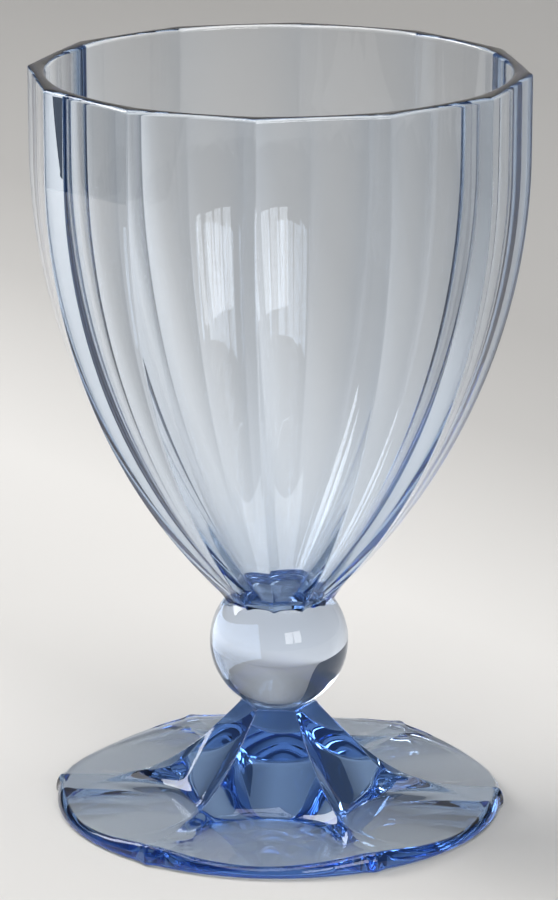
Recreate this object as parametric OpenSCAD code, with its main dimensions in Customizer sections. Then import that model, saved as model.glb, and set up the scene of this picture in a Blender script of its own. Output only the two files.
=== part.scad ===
// Water goblet: a panelled bowl and a panelled foot of blue glass, each fused to a
// ball of clear glass between them. The foot rests on Z = 0 and the goblet stands
// along Z. The panels of the bowl are flat across and those of the foot are hollow.
// Ridges of the bowl and of the foot meet over the X axis.

/* [Bowl] */
// Number of flat panels round the bowl
bowl_panels = 12; // [8:2:16]
// Height of the goblet from the table to the rim
goblet_h = 146; // [130:0.5:162]
// Width over opposite ridges at the rim
rim_d = 95.4; // [84:0.1:106]
// Width over opposite ridges where they meet the ball
base_d = 21.6; // [16:0.1:23.6]
// Height of the straight part of the panels below the rim
side_h = 16; // [8:0.5:30]
// Thickness of the glass at the rim in the middle of a panel
rim_wall = 2.2; // [1.6:0.1:4]
// Radius of the fire-polished edges of the rim
rim_round = 0.7; // [0.3:0.1:0.7]
// Radius of the shallow round bottom of the inside
well_r = 22; // [16:0.5:32]
// Width of the inside where its wall meets that bottom
well_w = 13.4; // [9:0.1:17]
// Thickness of the glass between the top of the ball and the inside
base_t = 2.1; // [0.8:0.1:6]

/* [Ball] */
// Diameter of the clear ball
ball_d = 27; // [25:0.1:32]
// Height of the ball up to the flat on its top, which is sunk into the bowl
ball_h = 23; // [22.8:0.1:24.5]
// Depth to which the ball is sunk into the neck of the foot
ball_sink = 1.1; // [0.5:0.1:2.5]

/* [Foot] */
// Number of panels round the foot
foot_panels = 6; // [6:2:8]
// Height of the foot up to the top of its neck
foot_h = 20.6; // [16:0.1:26]
// Width across opposite panels at the top of the neck
neck_w = 12.1; // [10:0.1:14]
// Radius of the flat part of the top of the neck
lip_r = 5.8; // [5:0.1:6.4]
// Slope of the top of the neck outside its flat part
lip_angle = 25; // [15:1:35]
// Distance from the goblet's axis to the upright axis that each panel's steep part is turned about
flute_out = 34; // [33:0.1:36]
// Angle of the panels' steep part from the level
flute_angle = 54.2; // [50:0.1:58]
// Radius of the hollow curve in which the ridges run out towards the rim
crest_r = 36; // [30:0.5:44]
// Angle of that curve from the level where it meets the flat part of the foot
crest_angle = 18; // [14:0.5:22]
// Distance from the goblet's axis at which it meets the flat part
crest_end = 31.3; // [29:0.1:33]
// Diameter of the round rim of the foot
foot_d = 87; // [80:0.5:96]
// How far outside the rim the upright axis lies that each panel's flat part is turned about
plate_near_r = 1.5; // [1:0.1:6]
// Height of the rim in the middle of a panel
rim_low_h = 2.75; // [2.2:0.05:3.2]
// Height of the rim at the ridges
edge_h = 3.9; // [3.6:0.1:4.1]
// Radius of the round over the outer edge of the rim
edge_round = 3.4; // [3.3:0.1:3.8]
// Radius of the round under the outer edge of the rim
under_round = 0.8; // [0.5:0.1:1.2]
// How far the small knobs at the ends of the ridges stand out past the rim
knob_out = 0.7; // [0.3:0.1:1.2]
// Width of each knob
knob_w = 3.4; // [2.8:0.1:4]
// How far the knobs stay inside the top and the bottom of the rim
knob_inset = 0.3; // [0.2:0.05:0.6]
// Bevel round the top and the bottom of each knob
knob_bevel = 0.8; // [0.5:0.05:0.9]

/* [Hidden] */
$fn = 180;
// Facets of a full circle in the outline of the bowl's ridges, and in its rounded rim
curve_fn = 240;
rim_fn = 32;
// How far a cut or an outline runs past the glass
overrun = 2;
// How far the curve of the foot's ridges ends under the flat part
crest_sunk = 0.2;
rim_r = rim_d / 2;
base_r = base_d / 2;
well_edge_r = well_w / 2;
neck_a = neck_w / 2;
ball_r = ball_d / 2;
knob_r = knob_w / 2;
foot_r = foot_d / 2;
// Curve radii are rounded to this
grain = 0.001;
// Heights above the table
ball_z = foot_h + ball_r - ball_sink;
seat_z = ball_z + sqrt(pow(ball_r, 2) - pow(base_r, 2));
ball_top_z = foot_h - ball_sink + ball_h;
shoulder_z = goblet_h - side_h;
well_z = ball_top_z + base_t + well_r;
well_edge_z = well_z - sqrt(pow(well_r, 2) - pow(well_edge_r, 2));
// Curve of the bowl's ridges: upright at the shoulder, through the seat on the ball
curve_r = upright_arc(rim_r - base_r, shoulder_z - seat_z);
// Curve of the inside: upright at the shoulder, through the edge of the round bottom
inside_r = rim_r * cos(180 / bowl_panels) - rim_wall;
inside_curve_r = upright_arc(inside_r - well_edge_r, shoulder_z - well_edge_z);
// Steep part of a panel, as radii about its own axis: at the neck and at the table
flute_neck_r = flute_out - neck_a;
flute_base_r = flute_neck_r - foot_h / tan(flute_angle);
// Curve of the ridges, which ends a little under the flat part
crest_z = edge_h - crest_sunk + crest_r * cos(crest_angle);
crest_a = crest_end + crest_r * sin(crest_angle);
// Flat part of a panel, as radii about its own axis: at the rim in the middle and at a ridge
plate_out = foot_r + plate_near_r;
plate_far_r = sqrt(pow(plate_out, 2) + pow(foot_r, 2)
    - 2 * plate_out * foot_r * cos(180 / foot_panels));
plate_slope = (edge_h - rim_low_h) / (plate_far_r - plate_near_r);
plate_reach = plate_out + foot_r + overrun;

// Radius of an arc that starts upright and comes in by one length over a drop
function upright_arc(inward, drop) =
    round((pow(inward, 2) + pow(drop, 2)) / (2 * inward) / grain) * grain;

// Half outline of the bowl through two opposite ridges, rim edge rounded
module ridge_outline() {
    intersection() {
        translate([rim_r - curve_r, shoulder_z]) circle(r = curve_r, $fn = curve_fn);
        translate([0, ball_z]) square([rim_r, shoulder_z - ball_z]);
    }
    translate([0, shoulder_z]) square([rim_r, side_h - rim_round]);
    translate([0, shoulder_z]) square([rim_r - rim_round, side_h]);
    translate([rim_r - rim_round, goblet_h - rim_round]) circle(r = rim_round, $fn = rim_fn);
}

// Half outline of the inside of the bowl, opened out by the rounded rim
module inside_outline() {
    intersection() {
        translate([inside_r - inside_curve_r, shoulder_z]) circle(r = inside_curve_r);
        union() {
            translate([0, well_z]) circle(r = well_r);
            translate([0, well_z - well_edge_r]) square([rim_r, shoulder_z - well_z + well_edge_r]);
        }
        translate([0, ball_z]) square([rim_r, shoulder_z - ball_z]);
    }
    translate([0, shoulder_z]) square([inside_r, side_h + overrun]);
    difference() {
        translate([0, goblet_h - rim_round]) square([inside_r + rim_round, rim_round + overrun]);
        translate([inside_r + rim_round, goblet_h - rim_round]) circle(r = rim_round);
    }
}

module bowl() {
    color("lightsteelblue")
        difference() {
            rotate_extrude($fn = bowl_panels) ridge_outline();
            rotate_extrude() inside_outline();
            ball_body();
        }
}

// Ball with a flat on its top
module ball_body() {
    difference() {
        translate([0, 0, ball_z]) sphere(r = ball_r);
        translate([0, 0, ball_top_z]) cylinder(r = ball_r, h = ball_r);
    }
}

module ball_stem() {
    color("whitesmoke") ball_body();
}

// Half outline of the flat part of the foot before its panels are cut, rounded at the rim
module plate_outline() {
    translate([0, under_round]) square([foot_r - edge_round, edge_round]);
    square([foot_r - under_round, under_round]);
    translate([foot_r - edge_round, under_round])
        intersection() {
            circle(r = edge_round);
            square([edge_round, edge_round]);
        }
    translate([foot_r - under_round, under_round])
        intersection() {
            circle(r = under_round);
            translate([0, -under_round]) square([under_round, under_round]);
        }
}

// Half outline of the steep part of the foot before its panels are cut
module stem_outline() {
    difference() {
        polygon([
            [0, under_round],
            [crest_end, under_round],
            [crest_end, foot_h - (crest_end - lip_r) * tan(lip_angle)],
            [lip_r, foot_h],
            [0, foot_h],
        ]);
        translate([crest_a, crest_z]) circle(r = crest_r);
    }
}

// Space over the steep part of one panel
module over_flute() {
    rotate_extrude()
        polygon([
            [0, 0],
            [flute_base_r, 0],
            [flute_neck_r + overrun / tan(flute_angle), foot_h + overrun],
            [0, foot_h + overrun],
        ]);
}

// Space over the flat part of one panel
module over_plate() {
    rotate_extrude()
        polygon([
            [0, rim_low_h - plate_slope * plate_near_r],
            [plate_reach, rim_low_h + plate_slope * (plate_reach - plate_near_r)],
            [plate_reach, foot_h],
            [0, foot_h],
        ]);
}

// Small knob that ends a ridge at the rim of the foot
module knob() {
    rotate_extrude()
        polygon([
            [0, knob_inset],
            [knob_r - knob_bevel, knob_inset],
            [knob_r, knob_inset + knob_bevel],
            [knob_r, edge_h - knob_inset - knob_bevel],
            [knob_r - knob_bevel, edge_h - knob_inset],
            [0, edge_h - knob_inset],
        ]);
}

// Puts one shape over the middle of every panel of the foot, a distance out
module over_panels(out) {
    for (i = [0 : foot_panels - 1])
        rotate([0, 0, (i + 0.5) * 360 / foot_panels])
            translate([out, 0, 0]) children();
}

module foot() {
    color("cornflowerblue")
        difference() {
            union() {
                difference() {
                    rotate_extrude() plate_outline();
                    over_panels(plate_out) over_plate();
                }
                difference() {
                    rotate_extrude() stem_outline();
                    over_panels(flute_out) over_flute();
                }
                for (i = [0 : foot_panels - 1])
                    rotate([0, 0, i * 360 / foot_panels])
                        translate([foot_r + knob_out - knob_r, 0, 0]) knob();
            }
            translate([0, 0, ball_z]) sphere(r = ball_r);
        }
}

bowl();
ball_stem();
foot();
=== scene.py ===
"""Water goblet of blue and clear pressed glass on a pale paper sweep, under soft studio light."""
import math

import bpy
import numpy as np
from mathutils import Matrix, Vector

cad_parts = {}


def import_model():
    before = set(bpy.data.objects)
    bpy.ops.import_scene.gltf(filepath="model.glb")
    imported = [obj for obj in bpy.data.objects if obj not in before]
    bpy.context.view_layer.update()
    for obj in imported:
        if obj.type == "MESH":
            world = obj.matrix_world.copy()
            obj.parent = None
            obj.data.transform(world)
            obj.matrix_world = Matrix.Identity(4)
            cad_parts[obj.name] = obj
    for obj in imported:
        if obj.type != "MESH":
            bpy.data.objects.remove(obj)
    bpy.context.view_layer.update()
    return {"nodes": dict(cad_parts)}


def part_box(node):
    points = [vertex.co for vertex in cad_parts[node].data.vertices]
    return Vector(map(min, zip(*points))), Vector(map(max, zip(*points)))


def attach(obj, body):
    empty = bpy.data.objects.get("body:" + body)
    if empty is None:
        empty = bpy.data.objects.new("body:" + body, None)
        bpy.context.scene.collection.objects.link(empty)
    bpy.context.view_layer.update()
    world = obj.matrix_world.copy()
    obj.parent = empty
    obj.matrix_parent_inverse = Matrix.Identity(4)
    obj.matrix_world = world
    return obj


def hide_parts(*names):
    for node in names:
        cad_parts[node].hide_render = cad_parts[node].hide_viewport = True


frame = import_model()

MM = 0.001
NODES = frame["nodes"]

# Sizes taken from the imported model, in metres
RIM_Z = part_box("bowl")[1][2]
BALL_R = (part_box("ball_stem")[1][0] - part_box("ball_stem")[0][0]) / 2
BALL_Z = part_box("ball_stem")[0][2] + BALL_R
RIM_RIDGE_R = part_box("bowl")[1][0]
FOOT_TOP_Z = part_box("foot")[1][2]
KNOB_TIP_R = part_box("foot")[1][0]

# Outside of the bowl: the height of its straight part, the radius over its ridges on the ball,
# and the rounding of the ridges, which is a share of the panels' apothem where that is less
BOWL_PANELS = 12
SHOULDER_DROP = 16 * MM
BASE_RIDGE_R = 10.1 * MM
RIDGE_ROUND = 1.2 * MM
RIDGE_ROUND_SHARE = 0.055

# Rim of the bowl: the thickness in the middle of a panel, the height of the round over it, and
# the power of that round, where 1 is half an ellipse and less is squarer
RIM_WALL = 2.2 * MM
RIM_ROUND = 0.9 * MM
RIM_POWER = 0.75

# Bottom of the inside: its height, the radius of its flat middle and the round up to the wall
WELL_Z = 44.6 * MM
WELL_R = 4 * MM
WELL_ROUND = 4 * MM

# Seat of the bowl on the ball: how much of the ball's roundness is left under the bowl, how far
# the edge droops at the ridges, and how high up the panels follow it
SEAT_FLAT = 0.2
RIDGE_DROOP = 0.5 * MM
DROOP_HEIGHT = 3 * MM
DROOP_NARROWING = 2.2
DROOP_POWER = 1.5

# Neck of the foot: the apothem of its panels at the top, and the bevel there
FOOT_PANELS = 6
NECK_A = 6.05 * MM
NECK_BEVEL = 0.5 * MM

# Steep part of the foot: where the upright axis of each panel stands, the panels' slope, and the
# hollow curve in which the ridges run out, by its radius and its centre
FLUTE_OUT = 34 * MM
FLUTE_SLOPE = 1.387
CREST_R = 36 * MM
CREST_A = 42.4 * MM
CREST_Z = 37.9 * MM

# Flat part of the foot: where the upright axis of each panel stands, the panels' slope, the
# height of the rim in the middle of a panel, and a dish that fades in from the stem
PLATE_OUT = 45 * MM
PLATE_SLOPE = 0.045
PLATE_LOW_Z = 2.82 * MM
PLATE_HOLLOW = 0.8 * MM
HOLLOW_START = 12 * MM
HOLLOW_FADE = 8 * MM

# How far the parts of the foot's top blend into each other
FILLET = 1.9 * MM
SOFT_RIDGE = 0.25 * MM
SOFT_CREST = 1.0 * MM

# Rim of the foot
RIM_R = 43.5 * MM
UNDER_ROUND = 0.8 * MM
OVER_ROUND = 1.5 * MM
KNOB_WIDTH = 1.5 * MM

# Fused joints: the two pieces stand this far apart, too little to see
JOINT_GAP = 0.02 * MM

# Points round each panel of the bowl and round each of its ridges, round the ball, and round
# each panel of the foot, where they crowd towards the ridges
FLAT_POINTS = 7
ARC_POINTS = 5
BALL_POINTS = 144
FOOT_PANEL_POINTS = 40
FOOT_CROWDING = 1.6

# Rings of the bowl, from the seat over the rim to the bottom of the inside
BOWL_SEAT_RINGS = 16
BOWL_PANEL_RINGS = 110
BOWL_CROWDING = 1.15
BOWL_SIDE_RINGS = 8
BOWL_RIM_RINGS = 15
INSIDE_CURVE_RINGS = 90
INSIDE_ROUND_RINGS = 24
WELL_RINGS = 8

# Rings of the ball, from its top down
BALL_TOP_RINGS = 14
BALL_SIDE_RINGS = 70
BALL_LOW_RINGS = 10

# Rings of the foot, from the middle of its underside over the rim to the seat of the ball
UNDERSIDE_RINGS = 30
UNDER_ROUND_RINGS = 8
OVER_ROUND_RINGS = 12
FOOT_TOP_RINGS = 130
BEVEL_RINGS = 6
LIP_RINGS = 4
FOOT_SEAT_RINGS = 10

# First ring round a pole: as a share of the last one, and as an angle on the ball
POLE_SHARE = 0.04
UNDERSIDE_POLE_SHARE = 0.02
BALL_POLE_TILT = 0.02

# Searches by halving: how far they look and how often they halve
EDGE_SEARCH = 2 * MM
EDGE_HALVINGS = 30
NECK_SEARCH = (4 * MM, 12 * MM)
NECK_HALVINGS = 40

# Glass: the colour and the density of what it absorbs, and a tint of the foot's surface
GLASS_IOR = 1.52
BLUE_COLOUR = (0.11, 0.42, 0.78)
BLUE_DENSITY = 41
FOOT_TINT = (0.93, 0.965, 1.0)
FOOT_COLOUR = (0.1, 0.46, 0.89)
FOOT_DENSITY = 40
CLEAR_COLOUR = (0.24, 0.47, 0.78)
CLEAR_DENSITY = 20

# Paper sweep, in metres from the goblet along the camera's directions: its sides, its front, where
# it bends up and how wide, its height, and how far it lies under the foot. Its left edge is seen
# through the ball, as the dark patch low in it.
SWEEP_LEFT = -0.54
SWEEP_RIGHT = 1.3
SWEEP_FRONT = -1.2
SWEEP_BACK = 1.0
SWEEP_BEND = 0.4
SWEEP_BEND_RINGS = 24
SWEEP_TOP = 1.3
SWEEP_Z = -0.2 * MM

# Paper: painted light and shade, as its brightness at distances behind the goblet, and the range
# that they lie
# in: bright where the lamps light the paper near the goblet, darker further behind as their light
# falls off.
# The bands run askew, so the painted light falls off sooner at the right: each lies nearer at the
# right by a share of the distance to the right.
PAINTED_LIGHT_SKEW = 1.29
PAPER_NEAR = -0.15
PAPER_FAR = 1.85
PAPER_WARMTH = (1, 0.97, 0.925)
PAPER_ROUGHNESS = 0.9
PAPER_SHEEN = 0.1
PAINTED_LIGHT_LEVELS = (
    (-0.12, 0.74), (-0.04, 0.77), (0.02, 0.72), (0.09, 0.76), (0.16, 0.79), (0.25, 0.68),
    (0.34, 0.56), (0.46, 0.49), (0.62, 0.49), (0.85, 0.49), (1.05, 0.52), (1.4, 0.7),
)

# Soft boxes: name, azimuth and elevation in degrees, distance and size in metres, and watts.
# Azimuth 0 is behind the camera's back, and 90 at its right.
LIGHTS = (
    ("key", -115, 42, 1.3, (0.6, 0.8), 12.5),
    ("window_left", 17.5, 18, 1.4, (0.31, 0.45), 2.4),
    ("window_right", 32.5, 18, 1.4, (0.31, 0.45), 2.4),
    ("top", 10, 85, 1.4, (1.2, 1.2), 12.5),
)
LIGHT_AIM_Z = 70 * MM
ROOM_COLOUR = (0.48, 0.56, 0.7)
ROOM_STRENGTH = 0.17

# Camera, fitted to the photograph in its 558 x 900 frame
FRAME_H = 900
FOCAL_PX = 4403.1
AXIS_Y_PX = 469.6
SENSOR_WIDTH = 36
CAMERA_TURN = math.radians(5.16)
CAMERA_DISTANCE = 813.8 * MM
CAMERA_HEIGHT = 306.05 * MM
CAMERA_PITCH = 0.2852

# Light paths, long enough for glass behind glass
MAX_BOUNCES = 24
GLOSSY_BOUNCES = 12

# Bowl, worked out: half the angle of a panel, the apothems at the rim and on the ball, the heights
# of the shoulder and the seat, and the radius of the curve between them
BOWL_HALF = math.pi / BOWL_PANELS
RIM_A = RIM_RIDGE_R * math.cos(BOWL_HALF)
BASE_A = BASE_RIDGE_R * math.cos(BOWL_HALF)
SHOULDER_Z = RIM_Z - SHOULDER_DROP
SEAT_Z = BALL_Z + math.sqrt(BALL_R**2 - BASE_RIDGE_R**2)
BOWL_CURVE = ((RIM_A - BASE_A) ** 2 + (SHOULDER_Z - SEAT_Z) ** 2) / (2 * (RIM_A - BASE_A))
INNER_R = RIM_A - RIM_WALL
FOOT_HALF = math.pi / FOOT_PANELS


def unit(v):
    """Vectors made one long."""
    return v / np.linalg.norm(v, axis=-1, keepdims=True)


def directions(angle):
    """Level unit vectors at the angles."""
    return np.column_stack([np.cos(angle), np.sin(angle)])


def lift(points, z):
    """2-D points at height z, which is one number or one per point."""
    return np.column_stack([points, np.broadcast_to(z, len(points))])


def from_ridge(angle, half):
    """How far each angle is from the nearest ridge, between panels of twice half."""
    return np.abs((angle + half) % (2 * half) - half)


def polygon_ring(panels, apothem, rounding, flat_points, arc_points):
    """Points, normal directions and corner shares round a regular polygon with rounded corners.
    A corner share is 1 on the flats and rises to 1 / cos(180/panels) in the middle of a corner."""
    half = math.pi / panels
    reach = apothem * math.tan(half) - rounding * math.tan(half)
    centre = (apothem - rounding) / math.cos(half)
    points, normals, shares = [], [], []
    for k in range(panels):
        a = (2 * k + 1) * half
        n = np.array([math.cos(a), math.sin(a)])
        t = np.array([-n[1], n[0]])
        for s in np.linspace(-1, 1, flat_points):
            points.append(n * apothem + t * reach * s)
            normals.append(n)
            shares.append(1.0)
        ridge = a + half
        middle = np.array([math.cos(ridge), math.sin(ridge)]) * centre
        for s in np.linspace(-1, 1, arc_points + 2)[1:-1]:
            d = np.array([math.cos(ridge + s * half), math.sin(ridge + s * half)])
            points.append(middle + d * rounding)
            normals.append(d)
            shares.append(math.cos(s * half) / math.cos(half))
    return np.array(points), np.array(normals), np.array(shares)


def grid_normals(rings):
    """Normals of a closed band of rings, by central differences."""
    along = np.gradient(rings, axis=0)
    around = (np.roll(rings, -1, axis=1) - np.roll(rings, 1, axis=1)) / 2
    n = np.cross(around, along)
    size = np.linalg.norm(n, axis=-1, keepdims=True)
    return n / np.maximum(size, 1e-12)


def skin(name, rings, normals, joint_bands):
    """A closed mesh through rings of points, with a pole at each end. joint_bands are the
    ranges of rings whose faces are fused to the next piece."""
    count = len(rings[0])
    poles = [np.mean(rings[0], axis=0), np.mean(rings[-1], axis=0)]
    verts = np.vstack([*rings, poles])
    faces, joined = [], []
    for i in range(len(rings) - 1):
        fused = any(lo <= i < hi for lo, hi in joint_bands)
        for j in range(count):
            k = (j + 1) % count
            faces.append((i * count + j, i * count + k, (i + 1) * count + k, (i + 1) * count + j))
            joined.append(fused)
    first, last = len(rings) * count, len(rings) * count + 1
    end = (len(rings) - 1) * count
    for j in range(count):
        k = (j + 1) % count
        faces.append((first, k, j))
        joined.append(any(lo <= 0 < hi for lo, hi in joint_bands))
        faces.append((last, end + j, end + k))
        joined.append(any(hi >= len(rings) - 1 for lo, hi in joint_bands))
    mesh = bpy.data.meshes.new(name)
    mesh.from_pydata([tuple(v) for v in verts], [], faces)
    mesh.polygons.foreach_set("use_smooth", [True] * len(faces))
    mark = mesh.attributes.new("fused", "FLOAT", "FACE")
    mark.data.foreach_set("value", [1.0 if j else 0.0 for j in joined])
    ends = [unit(np.mean(normals[0], axis=0)), unit(np.mean(normals[-1], axis=0))]
    mesh.update()
    mesh.normals_split_custom_set_from_vertices([tuple(n) for n in np.vstack([*normals, ends])])
    obj = bpy.data.objects.new(name, mesh)
    bpy.context.scene.collection.objects.link(obj)
    return obj


def dress(obj, node, material):
    """Makes a piece stand for its CAD node: both get its material, the node is hidden and the
    piece hangs on the root body.
    """
    obj.data.materials.append(material)
    NODES[node].data.materials.clear()
    NODES[node].data.materials.append(material)
    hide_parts(node)
    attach(obj, "root")


def glass(name, colour, density, tint=(1, 1, 1)):
    """Smooth glass whose colour comes from its thickness. Where a face is fused to the next
    piece the light goes straight through it."""
    mat = bpy.data.materials.new(name)
    mat.use_nodes = True
    nodes, links = mat.node_tree.nodes, mat.node_tree.links
    nodes.clear()
    out = nodes.new("ShaderNodeOutputMaterial")
    surface = nodes.new("ShaderNodeBsdfPrincipled")
    surface.inputs["Base Color"].default_value = (*tint, 1)
    surface.inputs["Roughness"].default_value = 0.0
    surface.inputs["Transmission Weight"].default_value = 1.0
    fused = nodes.new("ShaderNodeAttribute")
    fused.attribute_name = "fused"
    ior = nodes.new("ShaderNodeMapRange")
    ior.inputs["To Min"].default_value = GLASS_IOR
    ior.inputs["To Max"].default_value = 1.0
    volume = nodes.new("ShaderNodeVolumeAbsorption")
    volume.inputs["Color"].default_value = (*colour, 1)
    volume.inputs["Density"].default_value = density
    links.new(fused.outputs["Fac"], ior.inputs["Value"])
    links.new(ior.outputs["Result"], surface.inputs["IOR"])
    links.new(surface.outputs["BSDF"], out.inputs["Surface"])
    links.new(volume.outputs["Volume"], out.inputs["Volume"])
    return mat


def outside_at(z):
    """Apothem of the bowl's panels at height z, and its slope."""
    if z >= SHOULDER_Z:
        return RIM_A, 0.0
    down = SHOULDER_Z - z
    root = math.sqrt(BOWL_CURVE**2 - down**2)
    return RIM_A - BOWL_CURVE + root, down / root


def panel_ring(z):
    """Points and normals round the bowl's panels at height z."""
    apothem, slope = outside_at(z)
    rounding = min(RIDGE_ROUND, apothem * RIDGE_ROUND_SHARE)
    points, dirs, shares = polygon_ring(BOWL_PANELS, apothem, rounding, FLAT_POINTS, ARC_POINTS)
    return points, unit(np.column_stack([dirs, -slope * shares]))


def seat_edge(angle):
    """Radii and heights of the bowl's edge on the ball at the angles. Each point slides along
    its panel until it meets the ball, and droops a little where it is near a ridge."""
    ball_top = BALL_R + JOINT_GAP
    heights = []
    for j in range(len(angle)):
        lo, hi = SEAT_Z - EDGE_SEARCH, SEAT_Z + EDGE_SEARCH
        for _ in range(EDGE_HALVINGS):
            z = (lo + hi) / 2
            r = np.linalg.norm(panel_ring(z)[0][j])
            if r * r + (z - BALL_Z) ** 2 > ball_top**2:
                hi = z
            else:
                lo = z
        heights.append(z)
    share = from_ridge(angle, BOWL_HALF) / BOWL_HALF
    droop = RIDGE_DROOP * np.clip(1 - share * DROOP_NARROWING, 0, 1) ** DROOP_POWER
    edge_z = np.array(heights) - droop
    return np.sqrt(ball_top**2 - (edge_z - BALL_Z) ** 2), edge_z


def bowl_seat(circle, edge_r, edge_z):
    """Rings and normals of the bowl's seat on the ball, from its middle out to its edge."""
    rings, normals = [], []
    tilt = np.arctan2(edge_r, edge_z - BALL_Z)
    for s in np.linspace(POLE_SHARE, 1, BOWL_SEAT_RINGS):
        n = np.column_stack([circle * np.sin(tilt * s)[:, None], np.cos(tilt * s)])
        cap = n * (BALL_R + JOINT_GAP) + np.array([0, 0, BALL_Z])
        cap[:, 2] = edge_z + (cap[:, 2] - edge_z) * SEAT_FLAT
        rings.append(cap)
        normals.append(-n)
    return rings, normals


def bowl_outside(edge):
    """Rings and normals of the bowl's panels, from its edge on the ball up to the rim. The first
    ring is a second one at the edge, with the panels' normals."""
    rings, normals = [], []
    base = lift(panel_ring(SEAT_Z)[0], SEAT_Z)
    shares = np.linspace(0, 1, BOWL_PANEL_RINGS) ** BOWL_CROWDING
    for z in SEAT_Z + (SHOULDER_Z - SEAT_Z) * shares:
        points, outward = panel_ring(z)
        pull = max(0.0, 1 - (z - SEAT_Z) / DROOP_HEIGHT) ** 2
        rings.append(lift(points, z) + (edge - base) * pull)
        normals.append(outward)
    for z in np.linspace(SHOULDER_Z, RIM_Z - RIM_ROUND, BOWL_SIDE_RINGS)[1:]:
        points, outward = panel_ring(z)
        rings.append(lift(points, z))
        normals.append(outward)
    return rings, normals


def bowl_rim(outer, inner):
    """Rings of the rounded rim, from the panels over to the turned inside."""
    rings = []
    for t in np.linspace(0, math.pi, BOWL_RIM_RINGS)[1:-1]:
        across = math.copysign(abs(math.cos(t)) ** RIM_POWER, math.cos(t))
        up = math.sin(t) ** RIM_POWER
        b = (1 - across) / 2
        rings.append(lift(outer * (1 - b) + inner * b, RIM_Z - RIM_ROUND + RIM_ROUND * up))
    return rings


def bowl_inside(circle):
    """Rings and normals of the bowl's turned inside, from the rim down to the middle of its
    bottom. An upright wall turns into an arc, and that into the round of the bottom."""
    rings, normals = [], []

    def add(r, z, level, up):
        rings.append(lift(circle * r, z))
        normals.append(lift(-circle * level, up))

    round_z = WELL_Z + WELL_ROUND
    fall = SHOULDER_Z - round_z
    across = INNER_R - WELL_R
    curve = (across**2 + fall**2 - WELL_ROUND**2) / (2 * (across - WELL_ROUND))
    tangent = SHOULDER_Z - fall * curve / (curve - WELL_ROUND)
    turn = math.asin((SHOULDER_Z - tangent) / curve)
    for z in np.linspace(RIM_Z - RIM_ROUND, SHOULDER_Z, BOWL_SIDE_RINGS):
        add(INNER_R, z, 1, 0)
    for a in np.linspace(0, turn, INSIDE_CURVE_RINGS)[1:]:
        r = INNER_R - curve + curve * math.cos(a)
        add(r, SHOULDER_Z - curve * math.sin(a), math.cos(a), math.sin(a))
    for a in np.linspace(turn, math.pi / 2, INSIDE_ROUND_RINGS)[1:]:
        r = WELL_R + WELL_ROUND * math.cos(a)
        add(r, round_z - WELL_ROUND * math.sin(a), math.cos(a), math.sin(a))
    for s in np.linspace(1, POLE_SHARE, WELL_RINGS)[1:]:
        add(WELL_R * s, WELL_Z, 0, 1)
    return rings, normals


def bowl():
    """The bowl: panels outside, turned inside, seated on the ball."""
    base = panel_ring(SEAT_Z)[0]
    angle = np.arctan2(base[:, 1], base[:, 0])
    circle = directions(angle)
    edge_r, edge_z = seat_edge(angle)
    seat, seat_n = bowl_seat(circle, edge_r, edge_z)
    sides, sides_n = bowl_outside(lift(circle * edge_r[:, None], edge_z))
    outer = panel_ring(RIM_Z)[0]
    inner = directions(np.arctan2(outer[:, 1], outer[:, 0]))
    rim = bowl_rim(outer, inner * INNER_R)
    inside, inside_n = bowl_inside(inner)
    rim_n = -grid_normals(np.array([sides[-1], *rim, inside[0]]))
    if rim_n[len(rim) // 2, 0, 2] < 0:
        rim_n = -rim_n
    rings = seat + sides + rim + inside
    normals = seat_n + sides_n + list(rim_n[1:-1]) + inside_n
    return skin("bowl_glass", rings, normals, [(0, len(seat) - 1)])


def ball():
    """The clear ball. Its caps under the bowl and in the foot's neck are fused."""
    top = math.asin(BASE_RIDGE_R / BALL_R)
    low = math.pi - math.asin(math.sqrt(BALL_R**2 - (BALL_Z - FOOT_TOP_Z) ** 2) / BALL_R)
    circle = directions(np.linspace(0, 2 * math.pi, BALL_POINTS + 1)[:-1])
    tilts = [
        *np.linspace(BALL_POLE_TILT, top, BALL_TOP_RINGS),
        *np.linspace(top, low, BALL_SIDE_RINGS)[1:],
        *np.linspace(low, math.pi - BALL_POLE_TILT, BALL_LOW_RINGS)[1:],
    ]
    rings, normals = [], []
    for t in tilts[::-1]:
        n = lift(circle * math.sin(t), math.cos(t))
        ring = n * BALL_R + np.array([0, 0, BALL_Z])
        if t < top:
            edge = BALL_Z + BALL_R * math.cos(top)
            ring[:, 2] = edge + (ring[:, 2] - edge) * SEAT_FLAT
        rings.append(ring)
        normals.append(n)
    total = len(rings)
    joint_bands = [(0, BALL_LOW_RINGS - 1), (total - BALL_TOP_RINGS, total)]
    return skin("ball_glass", rings, normals, joint_bands)


def panel_reach(x, y, out):
    """How far each point stands from the goblet's axis towards its panel's own upright axis,
    which stands at the distance out. The ridges between panels are slightly soft."""
    reaches = []
    for k in range(FOOT_PANELS):
        a = (2 * k + 1) * FOOT_HALF
        reaches.append(out - np.hypot(x - out * math.cos(a), y - out * math.sin(a)))
    reaches = np.sort(np.array(reaches), axis=0)
    near = np.clip(1 - (reaches[-1] - reaches[-2]) / SOFT_RIDGE, 0, 1)
    return reaches[-1] + SOFT_RIDGE * near**2 / 4


def soft_min(a, b, blend):
    """The lesser of a and b, rounded off where they are closer than blend."""
    near = np.clip(1 - np.abs(a - b) / blend, 0, 1)
    return np.minimum(a, b) - blend * near**2 / 4


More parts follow.
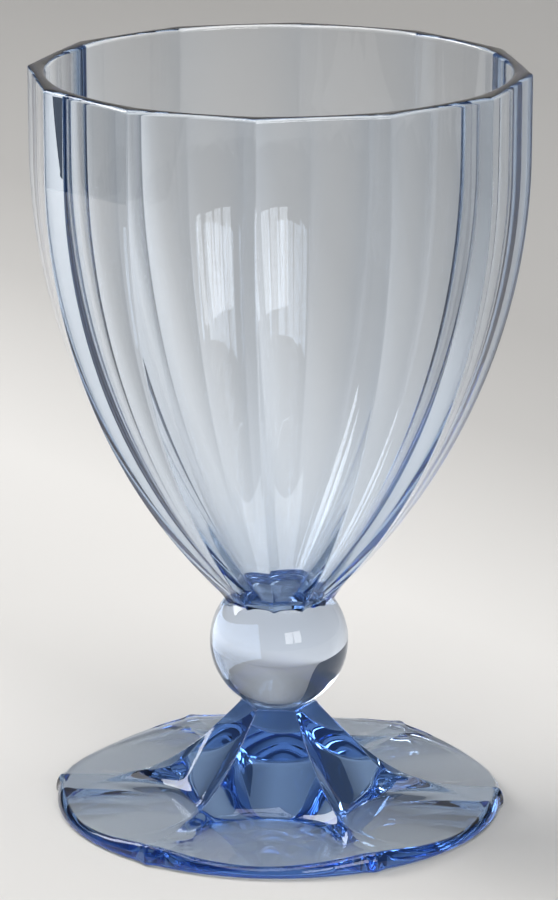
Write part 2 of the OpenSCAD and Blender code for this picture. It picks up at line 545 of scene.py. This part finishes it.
def foot_top(x, y):
    """Height of the top of the foot: steep hollow panels whose ridges run out in a hollow
    curve, and a flat part that is slightly dished between the ridges."""
    rho = np.hypot(x, y)
    flute = FOOT_TOP_Z - (panel_reach(x, y, FLUTE_OUT) - NECK_A) * FLUTE_SLOPE
    crest = CREST_Z - np.sqrt(np.maximum(CREST_R**2 - (CREST_A - rho) ** 2, 0))
    stem = soft_min(flute, crest, SOFT_CREST)
    from_middle = np.abs(np.arctan2(y, x) % (2 * FOOT_HALF) - FOOT_HALF)
    share = np.tan(from_middle) / math.tan(FOOT_HALF)
    spread = np.clip((rho - HOLLOW_START) / HOLLOW_FADE, 0, 1)
    spread = spread**2 * (3 - 2 * spread)
    plate = PLATE_LOW_Z + PLATE_SLOPE * (RIM_R - panel_reach(x, y, PLATE_OUT))
    plate -= PLATE_HOLLOW * spread * (1 - share**2)
    return -soft_min(-stem, -plate, FILLET)


def foot():
    """The foot: a short neck, hollow panels with ridges between them, and a round rim with
    six small knobs."""
    angle = []
    for k in range(FOOT_PANELS):
        for s in np.linspace(-1, 1, FOOT_PANEL_POINTS + 1)[:-1]:
            off = math.copysign(1 - (1 - abs(s)) ** FOOT_CROWDING, s)
            angle.append((2 * k + 1) * FOOT_HALF + FOOT_HALF * off)
    angle = np.array(angle)
    circle = directions(angle)
    aside = from_ridge(angle, FOOT_HALF) * RIM_R
    out_r = RIM_R + (KNOB_TIP_R - RIM_R) * np.exp(-((aside / KNOB_WIDTH) ** 2))

    # Underside and the two rounds of the rim
    rings = []
    for s in np.linspace(UNDERSIDE_POLE_SHARE, 1, UNDERSIDE_RINGS):
        rings.append(lift(circle * ((out_r - UNDER_ROUND) * s)[:, None], 0.0))
    for t in np.linspace(0, math.pi / 2, UNDER_ROUND_RINGS)[1:]:
        r = out_r - UNDER_ROUND + UNDER_ROUND * math.sin(t)
        rings.append(lift(circle * r[:, None], UNDER_ROUND - UNDER_ROUND * math.cos(t)))
    rim_in = out_r - OVER_ROUND
    rim_z = foot_top(*(circle * rim_in[:, None]).T)
    for t in np.linspace(0, math.pi / 2, OVER_ROUND_RINGS)[1:-1]:
        r = rim_in + OVER_ROUND * math.cos(t)
        rings.append(lift(circle * r[:, None], UNDER_ROUND + (rim_z - UNDER_ROUND) * math.sin(t)))

    # Top, in to the neck
    neck_z = FOOT_TOP_Z - NECK_BEVEL
    low, high = (np.full(len(angle), r) for r in NECK_SEARCH)
    for _ in range(NECK_HALVINGS):
        middle = (low + high) / 2
        above = foot_top(*(circle * middle[:, None]).T) > neck_z
        low, high = np.where(above, middle, low), np.where(above, high, middle)
    neck_r = low
    for s in np.linspace(0, 1, FOOT_TOP_RINGS):
        p = circle * (rim_in + (neck_r - rim_in) * s)[:, None]
        rings.append(lift(p, np.minimum(foot_top(p[:, 0], p[:, 1]), neck_z)))
    for t in np.linspace(0, math.pi / 2, BEVEL_RINGS)[1:]:
        inset = NECK_BEVEL * (1 - math.cos(t))
        rings.append(lift(circle * (neck_r - inset)[:, None], neck_z + NECK_BEVEL * math.sin(t)))

    # Flat lip and the seat of the ball
    seat_r = BALL_R + JOINT_GAP
    seat_edge_r = math.sqrt(seat_r**2 - (BALL_Z - FOOT_TOP_Z) ** 2)
    lip = rings[-1][:, :2]
    for s in np.linspace(0, 1, LIP_RINGS)[1:]:
        rings.append(lift(lip * (1 - s) + circle * seat_edge_r * s, FOOT_TOP_Z))
    seat_start = len(rings) - 1
    tilt = math.asin(seat_edge_r / seat_r)
    for s in np.linspace(1, POLE_SHARE, FOOT_SEAT_RINGS)[1:]:
        n = lift(circle * math.sin(tilt * s), -math.cos(tilt * s))
        rings.append(n * seat_r + np.array([0, 0, BALL_Z]))
    normals = grid_normals(np.array(rings))
    if normals[0, 0, 2] > 0:
        normals = -normals
    return skin("foot_glass", rings, list(normals), [(seat_start, len(rings))])


def stage_material(name):
    """Matt paper with painted light and shade: its brightness follows the distance behind the
    goblet, as the lamps' light falls off. Its back side is see-through, so the goblet can be seen
    from behind the upright part."""
    mat = bpy.data.materials.new(name)
    mat.use_nodes = True
    nodes, links = mat.node_tree.nodes, mat.node_tree.links
    surface = nodes["Principled BSDF"]
    surface.inputs["Roughness"].default_value = PAPER_ROUGHNESS
    surface.inputs["Specular IOR Level"].default_value = PAPER_SHEEN
    where = nodes.new("ShaderNodeTexCoord")
    depth = nodes.new("ShaderNodeVectorMath")
    depth.operation = "DOT_PRODUCT"
    depth.inputs[1].default_value = (PAINTED_LIGHT_SKEW, 1, 0)
    span = nodes.new("ShaderNodeMapRange")
    span.inputs["From Min"].default_value = PAPER_NEAR
    span.inputs["From Max"].default_value = PAPER_FAR
    # Painted light and shade: the paper's colour steps with the distance behind the goblet, as the
    # lamps' light falls off
    ramp = nodes.new("ShaderNodeValToRGB")
    stops = ramp.color_ramp.elements
    for k, (far, level) in enumerate(PAINTED_LIGHT_LEVELS):
        stop = stops[k] if k < 2 else stops.new(1.0)
        stop.position = (far - PAPER_NEAR) / (PAPER_FAR - PAPER_NEAR)
        stop.color = (*[level * share for share in PAPER_WARMTH], 1)
    links.new(where.outputs["Object"], depth.inputs[0])
    links.new(depth.outputs["Value"], span.inputs["Value"])
    links.new(span.outputs["Result"], ramp.inputs["Fac"])
    links.new(ramp.outputs["Color"], surface.inputs["Base Color"])
    side = nodes.new("ShaderNodeNewGeometry")
    clear_back = nodes.new("ShaderNodeBsdfTransparent")
    mix = nodes.new("ShaderNodeMixShader")
    links.new(side.outputs["Backfacing"], mix.inputs["Fac"])
    links.new(surface.outputs["BSDF"], mix.inputs[1])
    links.new(clear_back.outputs["BSDF"], mix.inputs[2])
    links.new(mix.outputs["Shader"], nodes["Material Output"].inputs["Surface"])
    return mat


def sweep():
    """Floor that curves up into a backdrop, turned to face the camera."""
    profile = [(SWEEP_FRONT, SWEEP_Z), (SWEEP_BACK, SWEEP_Z)]
    for a in np.linspace(0, math.pi / 2, SWEEP_BEND_RINGS)[1:]:
        y = SWEEP_BACK + SWEEP_BEND * math.sin(a)
        profile.append((y, SWEEP_Z + SWEEP_BEND - SWEEP_BEND * math.cos(a)))
    profile.append((SWEEP_BACK + SWEEP_BEND, SWEEP_TOP))
    verts, faces = [], []
    for y, z in profile:
        verts += [(SWEEP_LEFT, y, z), (SWEEP_RIGHT, y, z)]
    for i in range(len(profile) - 1):
        faces.append((2 * i, 2 * i + 1, 2 * i + 3, 2 * i + 2))
    mesh = bpy.data.meshes.new("sweep")
    mesh.from_pydata(verts, [], faces)
    mesh.polygons.foreach_set("use_smooth", [True] * len(faces))
    obj = bpy.data.objects.new("sweep", mesh)
    obj.rotation_euler[2] = CAMERA_TURN
    bpy.context.scene.collection.objects.link(obj)
    obj.data.materials.append(stage_material("sweep_paper_painted_light"))


def area_light(name, azimuth, elevation, distance, size, power):
    """A soft box that faces the goblet."""
    data = bpy.data.lights.new(name, "AREA")
    data.shape = "RECTANGLE"
    data.size, data.size_y = size
    data.energy = power
    obj = bpy.data.objects.new(name, data)
    bpy.context.scene.collection.objects.link(obj)
    a = math.radians(azimuth) + CAMERA_TURN
    e = math.radians(elevation)
    away = np.array([math.sin(a) * math.cos(e), -math.cos(a) * math.cos(e), math.sin(e)])
    obj.location = np.array([0, 0, LIGHT_AIM_Z]) + away * distance
    obj.rotation_mode = "QUATERNION"
    obj.rotation_quaternion = Vector(away).to_track_quat("Z", "Y")


def camera():
    """The photograph's camera."""
    data = bpy.data.cameras.new("camera")
    data.sensor_width = SENSOR_WIDTH
    data.lens = FOCAL_PX * data.sensor_width / FRAME_H
    data.shift_y = (AXIS_Y_PX - FRAME_H / 2) / FRAME_H
    obj = bpy.data.objects.new("camera", data)
    bpy.context.scene.collection.objects.link(obj)
    obj.location = (
        CAMERA_DISTANCE * math.sin(CAMERA_TURN),
        -CAMERA_DISTANCE * math.cos(CAMERA_TURN),
        CAMERA_HEIGHT,
    )
    obj.rotation_euler = (math.pi / 2 - CAMERA_PITCH, 0, CAMERA_TURN)
    bpy.context.scene.camera = obj


def world():
    """The dim room round the paper."""
    w = bpy.data.worlds.new("studio")
    w.use_nodes = True
    room = w.node_tree.nodes["Background"]
    room.inputs["Color"].default_value = (*ROOM_COLOUR, 1)
    room.inputs["Strength"].default_value = ROOM_STRENGTH
    bpy.context.scene.world = w


camera()
blue = glass("blue_glass", BLUE_COLOUR, BLUE_DENSITY)
clear = glass("clear_glass", CLEAR_COLOUR, CLEAR_DENSITY)
deep_blue = glass("deep_blue_glass", FOOT_COLOUR, FOOT_DENSITY, FOOT_TINT)
dress(bowl(), "bowl", blue)
dress(ball(), "ball_stem", clear)
dress(foot(), "foot", deep_blue)

sweep()
world()
for light in LIGHTS:
    area_light(*light)

scene = bpy.context.scene
scene.view_settings.view_transform = "Standard"
scene.cycles.max_bounces = MAX_BOUNCES
scene.cycles.transmission_bounces = MAX_BOUNCES
scene.cycles.glossy_bounces = GLOSSY_BOUNCES
